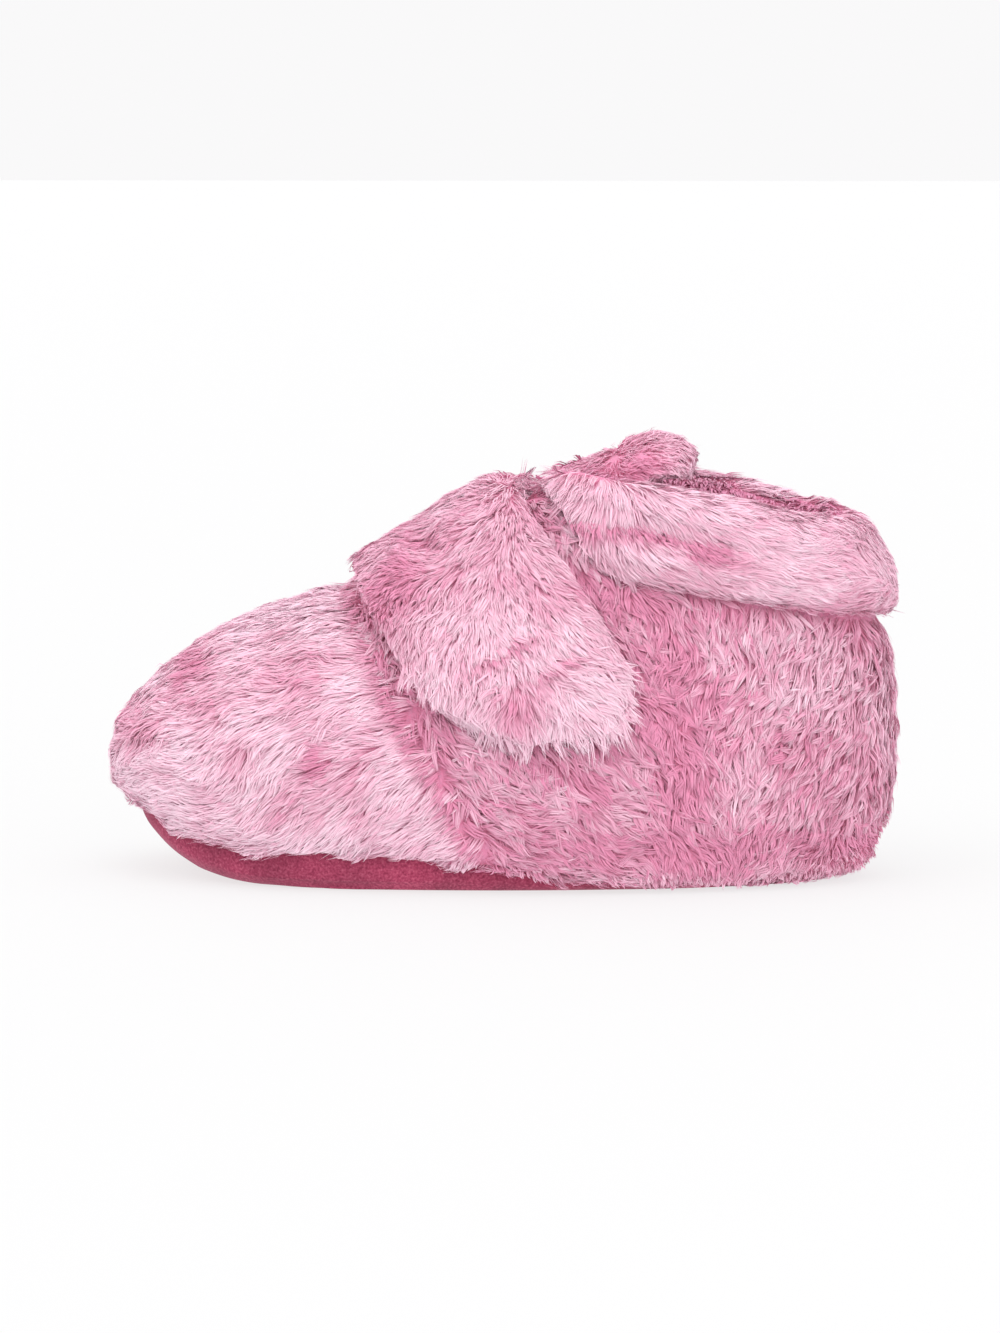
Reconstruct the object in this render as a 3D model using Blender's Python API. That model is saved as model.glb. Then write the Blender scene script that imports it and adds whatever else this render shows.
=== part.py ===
"""Plush fleece bootie slipper for an infant's left foot.

+X points to the toe, +Y to the outer side of the foot and +Z up. The origin lies on the floor,
under the flat of the sole. Lengths are in metres. Each piece is one closed solid: a suede sole
that turns up at its edge, a padded insole, a hollow fleece upper that laps over the sole's rim,
a tongue tucked under the quarters, a folded cuff round the collar and a strap over the instep.
"""

import math

import bmesh
import bpy
import numpy as np
from mathutils import Vector
from mathutils.bvhtree import BVHTree

MM = 0.001

# Driving sizes of the last
SHOE_LENGTH = 127.0 * MM
BALL_WIDTH = 63.6 * MM
INSTEP_HEIGHT = 52.2 * MM
COLLAR_HEIGHT = 62.5 * MM
TOE_INFLARE = 2.5 * MM
INNER_WAIST = 1.6 * MM

# Sole and insole
TOE_LIFT = 9.6 * MM
HEEL_LIFT = 1.6 * MM
SOLE_THICKNESS = 2.4 * MM
RIM_THICKNESS = 1.8 * MM
EDGE_RADIUS = 3.0 * MM
INSOLE_THICKNESS = 4.0 * MM

# Upper wall, and where it laps over the sole's rim
WALL = 4.2 * MM
HEM_AT_TOE = 14.0 * MM
RIM_LAP = 3.0 * MM
FRINGE = 1.6 * MM
QUARTER_STEP = 1.3 * MM
STEP_RISE = 3.0 * MM
STEP_FADE = 24.0 * MM
SEAM_CREASE = 0.8 * MM
CREASE_WIDTH = 2.2 * MM
HEM_EDGE = 0.2 * MM

# Cuff, strap and tongue
CUFF_THICKNESS = 4.3 * MM
CUFF_ROLL = 3.6 * MM
CUFF_CREASE = 1.3 * MM
CUFF_FRONT = 0.432
STRAP_WIDTH = 28.8 * MM
STRAP_THICKNESS = 4.8 * MM
TONGUE_WIDTH = 29.0 * MM
TONGUE_THICKNESS = 6.6 * MM
TONGUE_RISE = 19.0 * MM
TUCK_REACH = 2.5 * MM

# Locks of the pile, and clearances between pieces
LOCK_RELIEF = 1.2 * MM
LOCK_DROP = 1.4 * MM
LOCK_FADE = 3.0 * MM
LOCK_CLEARANCE = 2.0 * MM
FIT_GAP = 0.3 * MM
CUFF_GAP = 0.45 * MM
STRAP_GAP = 0.6 * MM

# Grid of each loft
COLUMNS = 72
OUTER_RINGS = 30
INNER_RINGS = 9
LOCKS_UP = 10
SOLE_COLUMNS = 48
INSOLE_COLUMNS = 36
FLOOR_SHARES = (0.97, 0.91, 0.83, 0.74, 0.64, 0.50, 0.30)
CUFF_COLUMNS = 46
STRAP_STATIONS = 26
STRAP_ACROSS = 8

HALF_LENGTH = SHOE_LENGTH / 2
HALF_BALL = BALL_WIDTH / 2

# One row for each section of the upper, from the hem (climb 0) to the collar and throat (climb 1).
# front and rear are shares of the half length, width of the half ball width, toe_height of the
# instep height and heel_height of the collar height. collar is how far the section follows the
# collar's own line. ball moves the widest place forward, or back where negative. sag keeps a
# section low until it nears the toe.
UPPER_SECTIONS = (
    ("climb", "front", "rear", "width", "toe_height", "heel_height", "collar", "sag", "ball", "fullness"),
    (0.00, 0.948, -0.880, 0.890, 0.262, 0.015, 0.00, 2.6, 0.15, 2.30),
    (0.11, 0.992, -0.965, 0.981, 0.345, 0.120, 0.00, 1.7, 0.14, 2.30),
    (0.23, 0.980, -0.995, 1.000, 0.440, 0.255, 0.00, 1.3, 0.12, 2.28),
    (0.36, 0.918, -0.998, 0.970, 0.550, 0.395, 0.00, 1.0, 0.09, 2.25),
    (0.49, 0.812, -0.992, 0.905, 0.665, 0.520, 0.00, 1.0, 0.04, 2.20),
    (0.62, 0.672, -0.970, 0.830, 0.770, 0.618, 0.06, 1.0, -0.04, 2.16),
    (0.75, 0.506, -0.937, 0.755, 0.845, 0.705, 0.22, 1.0, -0.16, 2.12),
    (0.88, 0.325, -0.899, 0.690, 0.905, 0.780, 0.60, 1.0, -0.30, 2.10),
    (1.00, 0.145, -0.863, 0.640, 1.000, 0.835, 1.00, 1.0, -0.42, 2.10),
)

# Height of the collar's edge and of the throat before it, as a share of COLLAR_HEIGHT. Ahead of
# the throat the line runs on down the instep, for the sections that only lean towards it.
COLLAR_LINE = (
    ("along", "height"),
    (0.00, 0.833),
    (0.10, 0.872),
    (0.20, 0.932),
    (0.32, 0.981),
    (0.42, 1.000),
    (0.48, 0.970),
    (0.53, 0.905),
    (0.58, 0.832),
    (0.66, 0.765),
    (0.80, 0.660),
    (1.00, 0.450),
)

# Height of the fleece's hem along the shoe, from the heel (0) to the toe (1), as a share of HEM_AT_TOE.
HEM_LINE = (
    ("along", "height"),
    (0.00, 0.070),
    (0.30, 0.085),
    (0.42, 0.180),
    (0.50, 0.300),
    (0.57, 0.400),
    (0.63, 0.480),
    (0.72, 0.460),
    (0.80, 0.455),
    (0.87, 0.560),
    (0.93, 0.770),
    (1.00, 0.990),
)

# Where the quarters' front edge crosses each height: height is a share of INSTEP_HEIGHT, along as above.
QUARTER_SEAM = (
    ("height", "along"),
    (0.00, 0.460),
    (0.28, 0.513),
    (0.47, 0.563),
    (0.74, 0.627),
    (0.89, 0.688),
    (1.20, 0.760),
)

# Lower edge of the turned-down cuff: height is a share of COLLAR_HEIGHT.
CUFF_EDGE = (
    ("along", "height"),
    (0.00, 0.665),
    (0.12, 0.707),
    (0.22, 0.747),
    (0.32, 0.784),
    (0.385, 0.842),
    (0.425, 0.930),
    (0.455, 1.020),
)

# Across the cuff's turned-down part, from its lower edge (0) to the collar's edge (1).
CUFF_FORM = (
    ("up", "thickness"),
    (0.00, 0.30),
    (0.10, 0.62),
    (0.35, 0.92),
    (0.62, 0.90),
    (0.82, 1.00),
    (1.00, 1.00),
)

# Sections of the tongue from its sewn end under the vamp to its puffed top. along is a share of the
# shoe's length from the heel, rise a share of TONGUE_RISE above INSTEP_HEIGHT, width of half the
# tongue's width, thickness of TONGUE_THICKNESS, and crown is how far the sides hang, in thicknesses.
# tucked is 1 where the tongue is sewn against the vamp's lining, whatever its rise.
TONGUE_SECTIONS = (
    ("along", "rise", "width", "thickness", "crown", "tucked"),
    (0.650, -0.520, 0.70, 0.42, 0.90, 1),
    (0.610, -0.360, 0.78, 0.60, 0.85, 1),
    (0.575, -0.240, 0.80, 0.70, 0.80, 1),
    (0.543, -0.100, 0.80, 0.75, 0.75, 0),
    (0.522, 0.080, 0.80, 0.80, 0.75, 0),
    (0.500, 0.310, 0.80, 0.80, 0.75, 0),
    (0.450, 0.560, 0.82, 0.90, 0.70, 0),
    (0.395, 0.740, 0.90, 1.00, 0.60, 0),
    (0.345, 0.920, 1.00, 1.00, 0.50, 0),
    (0.305, 1.000, 1.00, 0.98, 0.45, 0),
    (0.270, 0.940, 0.92, 0.80, 0.40, 0),
    (0.252, 0.820, 0.70, 0.48, 0.35, 0),
)

# The strap lies in planes square to the slope of the instep, and turns round this point.
STRAP_SLOPE = math.radians(36.0)
STRAP_AXIS_ALONG = 0.4430
STRAP_AXIS_HEIGHT = 0.645
STRAP_FAR_END = math.radians(-104.0)
STRAP_NEAR_END = math.radians(108.0)
STRAP_END_SKEW = math.radians(11.0)
STRAP_END_ROUNDING = math.radians(9.0)
STRAP_REACH = 1.2 * BALL_WIDTH
STRAP_SPAN = math.radians(100.0)
# Width and thickness along the strap, from its far, sewn end (0) to its near, free end (1).
STRAP_FORM = (
    ("along", "width", "thickness"),
    (0.00, 0.90, 0.62),
    (0.10, 0.97, 0.90),
    (0.30, 1.00, 0.95),
    (0.60, 1.00, 1.05),
    (0.88, 1.00, 1.05),
    (0.96, 0.95, 0.85),
    (1.00, 0.84, 0.45),
)

FLEECE_PINK = (0.83, 0.40, 0.56, 1.0)
CUFF_PINK = (0.86, 0.50, 0.64, 1.0)
STRAP_PINK = (0.85, 0.45, 0.60, 1.0)
TONGUE_PINK = (0.78, 0.33, 0.50, 1.0)
SUEDE_ROSE = (0.47, 0.08, 0.17, 1.0)
INSOLE_PINK = (0.62, 0.19, 0.34, 1.0)


def columns_of(table):
    """The table's columns by name."""
    header, *rows = table
    return dict(zip(header, np.array(rows, float).T))


def through_rows(stations, values, at):
    """A smooth curve through the rows that never swings past them: a monotone cubic."""
    steps = np.diff(stations)
    slopes = np.diff(values) / steps
    agree = slopes[:-1] * slopes[1:] > 0
    both = np.where(agree, slopes[:-1] + slopes[1:], 1.0)
    inner = np.where(agree, 2 * slopes[:-1] * slopes[1:] / both, 0.0)
    tangents = np.concatenate([slopes[:1], inner, slopes[-1:]])
    at = np.clip(at, stations[0], stations[-1])
    row = np.clip(np.searchsorted(stations, at, side="right") - 1, 0, len(steps) - 1)
    u = (at - stations[row]) / steps[row]
    low = values[row] * (1 + 2 * u) * (1 - u) ** 2 + tangents[row] * steps[row] * u * (1 - u) ** 2
    high = values[row + 1] * u * u * (3 - 2 * u) + tangents[row + 1] * steps[row] * u * u * (u - 1)
    return low + high


def read(table, key, name, at):
    """The named column of a table at these values of its key column."""
    found = columns_of(table)
    order = np.argsort(found[key])
    return through_rows(found[key][order], found[name][order], at)


def eased(share):
    """0 to 1 with a soft start and end."""
    share = np.clip(share, 0.0, 1.0)
    return share * share * (3 - 2 * share)


def along_shoe(x):
    """Share of the length from the heel (0) to the toe (1)."""
    return (x + HALF_LENGTH) / SHOE_LENGTH


def station(along):
    """The reverse of along_shoe."""
    return along * SHOE_LENGTH - HALF_LENGTH


def hem_height(x):
    return HEM_AT_TOE * read(HEM_LINE, "along", "height", along_shoe(x))


def collar_height(x):
    return COLLAR_HEIGHT * read(COLLAR_LINE, "along", "height", along_shoe(x))


def underside_height(x):
    """The sole's underside: flat from the heel to the ball, rising at the toe and a little at the heel."""
    toe = np.clip((along_shoe(x) - 0.75) / 0.22, 0.0, None) ** 2.6
    heel = np.clip((0.11 - along_shoe(x)) / 0.07, 0.0, None) ** 2
    return TOE_LIFT * toe + HEEL_LIFT * heel


def upper_form(angle, climb):
    """The upper's outer face without its locks. Each climb is an egg-shaped oval, its angle turning
    from the toe (0) over the outer side to the heel (pi); its height runs from heel to toe."""
    value = {n: read(UPPER_SECTIONS, "climb", n, climb) for n in UPPER_SECTIONS[0][1:]}
    front, rear = value["front"] * HALF_LENGTH, value["rear"] * HALF_LENGTH
    power = 2.0 / value["fullness"]
    cosine, sine = np.cos(angle), np.sin(angle)
    x = (front + rear) / 2 + (front - rear) / 2 * np.sign(cosine) * np.abs(cosine) ** power
    half_width = value["width"] * HALF_BALL * (1 + value["ball"] * cosine)
    y = half_width * np.sign(sine) * np.abs(sine) ** power
    low = 1 - eased(climb / 0.7)
    y = y - TOE_INFLARE * np.clip(x / HALF_LENGTH, 0.0, None) ** 2
    y = y + INNER_WAIST * low * np.clip(-sine, 0.0, 1.0) * np.exp(-(((x + 0.1 * HALF_LENGTH) / (0.35 * HALF_LENGTH)) ** 2))
    share = np.clip((x - rear) / (front - rear), 0.0, 1.0)
    heel, toe = value["heel_height"] * COLLAR_HEIGHT, value["toe_height"] * INSTEP_HEIGHT
    z = heel + (toe - heel) * share ** value["sag"]
    z = z + (collar_height(x) - z) * value["collar"]
    z = z + (hem_height(x) - z) * (1 - eased(climb / 0.12))
    return np.stack(np.broadcast_arrays(x, y, z), -1)


def outward(angle, climb):
    """Unit normals of the upper's outer face, from small steps along and up it."""
    step = 2e-3
    along = upper_form(angle + step, climb) - upper_form(angle - step, climb)
    up = upper_form(angle, np.minimum(climb + step, 1.0)) - upper_form(angle, np.maximum(climb - step, 0.0))
    normal = np.cross(along, up)
    return normal / np.linalg.norm(normal, axis=-1, keepdims=True)


def even_angles(count, climb=0.2):
    """Angles that space a section's points evenly round it."""
    fine = np.linspace(0.0, 2 * math.pi, 3001)
    ring = upper_form(fine, np.full_like(fine, climb))
    length = np.concatenate([[0.0], np.cumsum(np.linalg.norm(np.diff(ring, axis=0), axis=1))])
    return np.interp(np.linspace(0.0, length[-1], count + 1)[:-1], length, fine)


def hem_outline(angle, inward):
    """The hem's outline in plan, moved inwards, with the height of nothing yet."""
    climb = np.zeros_like(angle)
    ring = upper_form(angle, climb)
    step = 2e-3
    along = upper_form(angle + step, climb) - upper_form(angle - step, climb)
    out = np.stack([along[:, 1], -along[:, 0]], -1)
    out /= np.linalg.norm(out, axis=1, keepdims=True)
    return ring[:, :2] - out * inward


def lock_shape(column, phase):
    """0 to 1: a lock rises from its root to its tip and drops to the next root, and each second
    column of locks starts half a lock later."""
    rise = np.mod(phase + 0.5 * np.mod(column // 2, 2), 1.0)
    return rise * np.where(np.mod(column, 2) == 0, 1.0, 0.35)


def cuff_edge_height(x):
    return COLLAR_HEIGHT * read(CUFF_EDGE, "along", "height", along_shoe(x))


def seam_station(z):
    """Where the quarters' front edge lies at this height."""
    return station(read(QUARTER_SEAM, "height", "along", z / INSTEP_HEIGHT))


def quarter_relief(point):
    """The quarters lap over the vamp: a raised edge that dies away to the rear, and a crease before it."""
    behind = seam_station(point[..., 2]) - point[..., 0]
    edge = eased(behind / STEP_RISE) * (1 - eased(behind / STEP_FADE))
    crease = np.exp(-((behind / CREASE_WIDTH + 0.7) ** 2))
    low = eased(point[..., 2] / (0.25 * INSTEP_HEIGHT))
    return (QUARTER_STEP * edge - SEAM_CREASE * crease) * low


def loft(name, rings, joined):
    """One closed body through rings of equal length. joined: the last ring meets the first.
    Otherwise each end is closed by one face."""
    rings = np.asarray(rings, float)
    count, around = rings.shape[:2]
    points = rings.reshape(-1, 3)
    ring = np.arange(count if joined else count - 1)[:, None] * around
    column = np.arange(around)[None, :]
    after = np.roll(column, -1, axis=1)
    following = np.mod(ring + around, count * around)
    quads = np.stack(np.broadcast_arrays(ring + column, ring + after, following + after, following + column), -1)
    faces = quads.reshape(-1, 4).tolist()
    if not joined:
        faces += [list(range(first, first + around)) for first in (0, (count - 1) * around)]
    mesh = bpy.data.meshes.new(name)
    mesh.from_pydata(points.tolist(), [], faces)
    grid = bmesh.new()
    grid.from_mesh(mesh)
    bmesh.ops.recalc_face_normals(grid, faces=grid.faces)
    grid.to_mesh(mesh)
    grid.free()
    made = bpy.data.objects.new(name, mesh)
    bootie.objects.link(made)
    return made


def give_material(piece, name, colour, roughness):
    material = bpy.data.materials.new(name)
    material.use_nodes = True
    shader = material.node_tree.nodes["Principled BSDF"]
    shader.inputs["Base Color"].default_value = colour
    shader.inputs["Roughness"].default_value = roughness
    shader.inputs["Metallic"].default_value = 0.0
    piece.data.materials.append(material)
    piece.data.shade_smooth()


def surface_of(*pieces):
    """A search tree over these pieces' faces."""
    points, faces = [], []
    for piece in pieces:
        base = len(points)
        points += [vertex.co.copy() for vertex in piece.data.vertices]
        faces += [[base + i for i in face.vertices] for face in piece.data.polygons]
    return BVHTree.FromPolygons(points, faces)


def sole_rim(angle):
    """The rim's outer line in plan, and the height of its top."""
    outline = hem_outline(angle, FRINGE + FIT_GAP)
    top = hem_height(outline[:, 0]) + RIM_LAP
    least = underside_height(outline[:, 0]) + EDGE_RADIUS + 0.5 * RIM_LAP
    return outline, np.maximum(top, least)


def plan_ring(outline, height):
    return np.column_stack([outline, np.broadcast_to(height, len(outline))])


def make_outsole():
    """A suede dish: flat tread, rounded edge, thin rim, and the inside of the same dish."""
    angle = even_angles(SOLE_COLUMNS)
    outline, rim_top = sole_rim(angle)
    inner = hem_outline(angle, FRINGE + FIT_GAP + RIM_THICKNESS)

    def tread(share, lift):
        plan = outline * share
        return plan_ring(plan, underside_height(plan[:, 0]) + lift)

    def floor(share):
        plan = inner * share
        return plan_ring(plan, underside_height(plan[:, 0]) + SOLE_THICKNESS)

    rings = [tread(share, 0.0) for share in (0.35, 0.56, 0.70, 0.80, 0.90)]
    for turn in (30.0, 60.0, 90.0):
        lift = EDGE_RADIUS * (1 - math.cos(math.radians(turn)))
        share = 0.90 + 0.10 * math.sin(math.radians(turn))
        rings.append(tread(share, lift))
    rings.append(plan_ring(outline, rim_top))
    rings.append(plan_ring(inner, rim_top))
    floor_edge = underside_height(inner[:, 0]) + SOLE_THICKNESS + 0.35 * EDGE_RADIUS
    rings.append(plan_ring(inner, np.minimum(floor_edge, rim_top - 0.2 * RIM_LAP)))
    rings += [floor(share) for share in FLOOR_SHARES]
    sole = loft("outsole", rings, joined=False)
    give_material(sole, "suede", SUEDE_ROSE, 0.92)
    return sole


def make_insole():
    """A padded footbed that fills the dish between the rims, with a rounded top edge."""
    angle = even_angles(INSOLE_COLUMNS)
    outline = hem_outline(angle, FRINGE + FIT_GAP + RIM_THICKNESS + 2 * FIT_GAP)

    def level(share, height):
        plan = outline * share
        return plan_ring(plan, underside_height(plan[:, 0]) + SOLE_THICKNESS + FIT_GAP + height)

    rings = [level(share, 0.0) for share in FLOOR_SHARES[:0:-1]]
    rings += [
        level(0.985, 0.30 * INSOLE_THICKNESS),
        level(0.985, 0.62 * INSOLE_THICKNESS),
        level(0.94, 0.95 * INSOLE_THICKNESS),
        level(0.85, INSOLE_THICKNESS),
        level(0.72, INSOLE_THICKNESS),
        level(0.50, INSOLE_THICKNESS),
    ]
    insole = loft("insole", rings, joined=False)
    give_material(insole, "insole_fleece", INSOLE_PINK, 0.95)
    return insole


def make_upper():
    """The hollow fleece wall: outer face with its locks from hem to collar, inner face back down,
    and a lap at the hem that hangs outside the sole's rim and sits on top of it."""
    angle = even_angles(COLUMNS)
    column = np.arange(COLUMNS)
    rings = []
    for climb in np.linspace(0.0, 1.0, OUTER_RINGS + 1):
        climbs = np.full(COLUMNS, climb)
        base = upper_form(angle, climbs)
        above = base[:, 2] + LOCK_CLEARANCE - cuff_edge_height(base[:, 0])
        bare = 1 - eased(1 + above / LOCK_FADE)
        bare *= 1 - eased((climb - 0.86) / 0.06)
        lock = lock_shape(column, (1 - climb) * LOCKS_UP) - 0.3
        out = bare * (LOCK_RELIEF * lock + quarter_relief(base))
        rings.append(base + outward(angle, climbs) * out[:, None])
    tip = lock_shape(column, np.full(COLUMNS, 0.49))
    drop = LOCK_DROP * tip * eased(rings[0][:, 2] / HEM_AT_TOE / 0.3)
    rings[0][:, 2] -= drop
    for climb in np.linspace(1.0, 0.14, INNER_RINGS):
        climbs = np.full(COLUMNS, climb)
        rings.append(upper_form(angle, climbs) - outward(angle, climbs) * WALL)
    _, rim_top = sole_rim(angle)
    lap_outer = hem_outline(angle, FRINGE)
    lap_inner = hem_outline(angle, FRINGE + FIT_GAP + RIM_THICKNESS)
    rings.append(plan_ring(lap_inner, rim_top + FIT_GAP))
    rings.append(plan_ring(lap_outer, rim_top + FIT_GAP))
    rings.append(plan_ring(lap_outer, hem_height(lap_outer[:, 0]) - 0.5 * drop + HEM_EDGE))
    upper = loft("upper", rings, joined=True)
    give_material(upper, "plush_fleece", FLEECE_PINK, 0.95)
    return upper


def angle_at(x, climb, side):
    """The angle at which the section of this climb passes station x, on one side."""
    front = read(UPPER_SECTIONS, "climb", "front", climb) * HALF_LENGTH
    rear = read(UPPER_SECTIONS, "climb", "rear", climb) * HALF_LENGTH
    fullness = read(UPPER_SECTIONS, "climb", "fullness", climb)
    share = np.clip((x - (front + rear) / 2) / ((front - rear) / 2), -1.0, 1.0)
    return side * np.arccos(np.sign(share) * np.abs(share) ** (fullness / 2))


def cuff_path(rim_angle, climb):
    """The way that the cuff hangs from one point of the collar: straight down at the heel, and
    leaning to the rear at the front end, beside the strap. Angles run from -pi to pi."""
    side = np.sign(rim_angle)
    top = upper_form(rim_angle, np.ones_like(rim_angle))
    hang = (1 - climb) * COLLAR_HEIGHT
    leaning = angle_at(top[..., 0] - math.tan(STRAP_SLOPE) * hang, climb, side)
    front = eased((np.cos(rim_angle) + 0.75) / 0.75)
    return rim_angle * (1 - front) + leaning * front


def make_cuff():
    """The collar folded outwards: a flap that hangs outside the wall, thicker at its roll, and over
    the collar's edge to the lining. It tapers to its two front ends beside the strap."""
    front_x = station(CUFF_FRONT)
    ends = [angle_at(front_x, 1.0, side) for side in (1.0, -1.0)]
    share = np.linspace(0.0, 1.0, CUFF_COLUMNS)
    share -= 0.5 * np.sin(2 * math.pi * share) / (2 * math.pi)
    rim_angles = ends[0] + (2 * math.pi + ends[1] - ends[0]) * share
    sections = []
    for index, rim_angle in enumerate(rim_angles):
        signed = rim_angle if rim_angle <= math.pi else rim_angle - 2 * math.pi
        climbs = np.linspace(1.0, 0.5, 101)
        angles = cuff_path(np.full(101, signed), climbs)
        wall = upper_form(angles, climbs)
        below = np.nonzero(wall[:, 2] < cuff_edge_height(wall[:, 0]))[0]
        low = climbs[below[0]] if len(below) else 0.98
        low = min(low, 0.975)
        up = np.array([0.0, 0.10, 0.28, 0.44, 0.60, 0.80, 1.0])
        climb = low + (1 - low) * up
        angle = cuff_path(np.full(len(up), signed), climb)
        face, normal = upper_form(angle, climb), outward(angle, climb)
        end = eased(min(index, CUFF_COLUMNS - 1 - index) / 5.0)
        share = 0.45 + 0.55 * end
        thickness = CUFF_THICKNESS * share * read(CUFF_FORM, "up", "thickness", up)
        station_share = along_shoe(face[:, 0])
        folded = eased((station_share - 0.18) / 0.10) * end
        thickness -= CUFF_CREASE * folded * np.exp(-(((up - 0.60) / 0.14) ** 2))
        lock = lock_shape(np.full(len(up), index), (1 - up) * 2.5)
        thickness += 0.5 * LOCK_RELIEF * (lock - 0.4) * (1 - eased((up - 0.5) / 0.4))
        inner = face + normal * CUFF_GAP
        outer = face + normal * (CUFF_GAP + thickness)[:, None]
        rim, out = face[-1], normal[-1]
        rise = face[-1] - face[-2]
        rise /= np.linalg.norm(rise)
        roll = CUFF_ROLL * (0.55 + 0.45 * end)
        over = [
            rim + out * (CUFF_GAP + thickness[-1] * 0.86) + rise * roll * 0.62,
            rim + out * (CUFF_GAP + thickness[-1] * 0.35) + rise * roll,
            rim - out * WALL * 0.55 + rise * roll * 0.98,
            rim - out * WALL * 1.0 + rise * roll * 0.60,
            rim - out * WALL * 0.98 + rise * CUFF_GAP * 1.5,
        ]
        hook = [rim + out * CUFF_GAP + rise * CUFF_GAP]
        sections.append(np.vstack([inner[:-1], hook, over[::-1], outer[::-1]]))
    cuff = loft("cuff", sections, joined=False)
    give_material(cuff, "cuff_fleece", CUFF_PINK, 0.95)
    return cuff


def make_tongue(upper):
    """A padded tongue, its front end tucked under the vamp and its sides under the quarters, and
    its puffed top leaning back over the opening."""
    table = columns_of(TONGUE_SECTIONS)
    table["tucked"] = table["tucked"] > 0
    x = station(table["along"])
    top = INSTEP_HEIGHT + TONGUE_RISE * table["rise"]
    half_width = TONGUE_WIDTH / 2 * table["width"]
    thickness = TONGUE_THICKNESS * table["thickness"]
    crown = TONGUE_THICKNESS * table["crown"]
    slope = np.arctan2(np.gradient(top), -np.gradient(x))
    wall = surface_of(upper)

    def roof(x, y):
        """The lowest of the upper's lining over a small patch round this spot."""
        spots = [
            Vector((x + dx * TUCK_REACH, y + dy * TUCK_REACH, 0.35 * INSTEP_HEIGHT))
            for dx in (-1.0, 0.0, 1.0)
            for dy in (-0.6, 0.0, 0.6)
        ]
        hits = [wall.ray_cast(spot, Vector((0.0, 0.0, 1.0)))[0] for spot in spots]
        return min((hit.z for hit in hits if hit is not None), default=math.inf)

    turns = np.linspace(0.0, 2 * math.pi, 18, endpoint=False)
    through = (np.sign(np.sin(turns)) * np.abs(np.sin(turns)) ** 0.8 - 1) / 2
    sections = []
    for i in range(len(x)):
        across = half_width[i] * np.cos(turns)
        hung = top[i] - crown[i] * np.cos(turns) ** 2
        lining = np.array([roof(x[i], y) for y in across]) - 2 * FIT_GAP
        face = np.where(table["tucked"][i] & np.isfinite(lining), lining, np.minimum(hung, lining))
        deep = thickness[i] * through
        sections.append(
            np.column_stack([x[i] + deep * math.sin(slope[i]), across, face + deep * math.cos(slope[i])])
        )
    tongue = loft("tongue", sections, joined=False)
    give_material(tongue, "tongue_fleece", TONGUE_PINK, 0.95)
    return tongue


def stretched(turns, reach):
    """Radius of a band pulled tight over points at these turns and radii round an axis: at each
    point the farthest of all the chords between one point before it and one behind it."""
    tight = reach.copy()
    for i in range(1, len(turns) - 1):
        before, behind = turns[:i, None], turns[None, i + 1 :]
        chord = reach[:i, None] * reach[None, i + 1 :] * np.sin(behind - before)
        chord /= reach[:i, None] * np.sin(turns[i] - before) + reach[None, i + 1 :] * np.sin(behind - turns[i])
        tight[i] = max(tight[i], chord[behind - before < STRAP_SPAN].max())
    return tight


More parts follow.
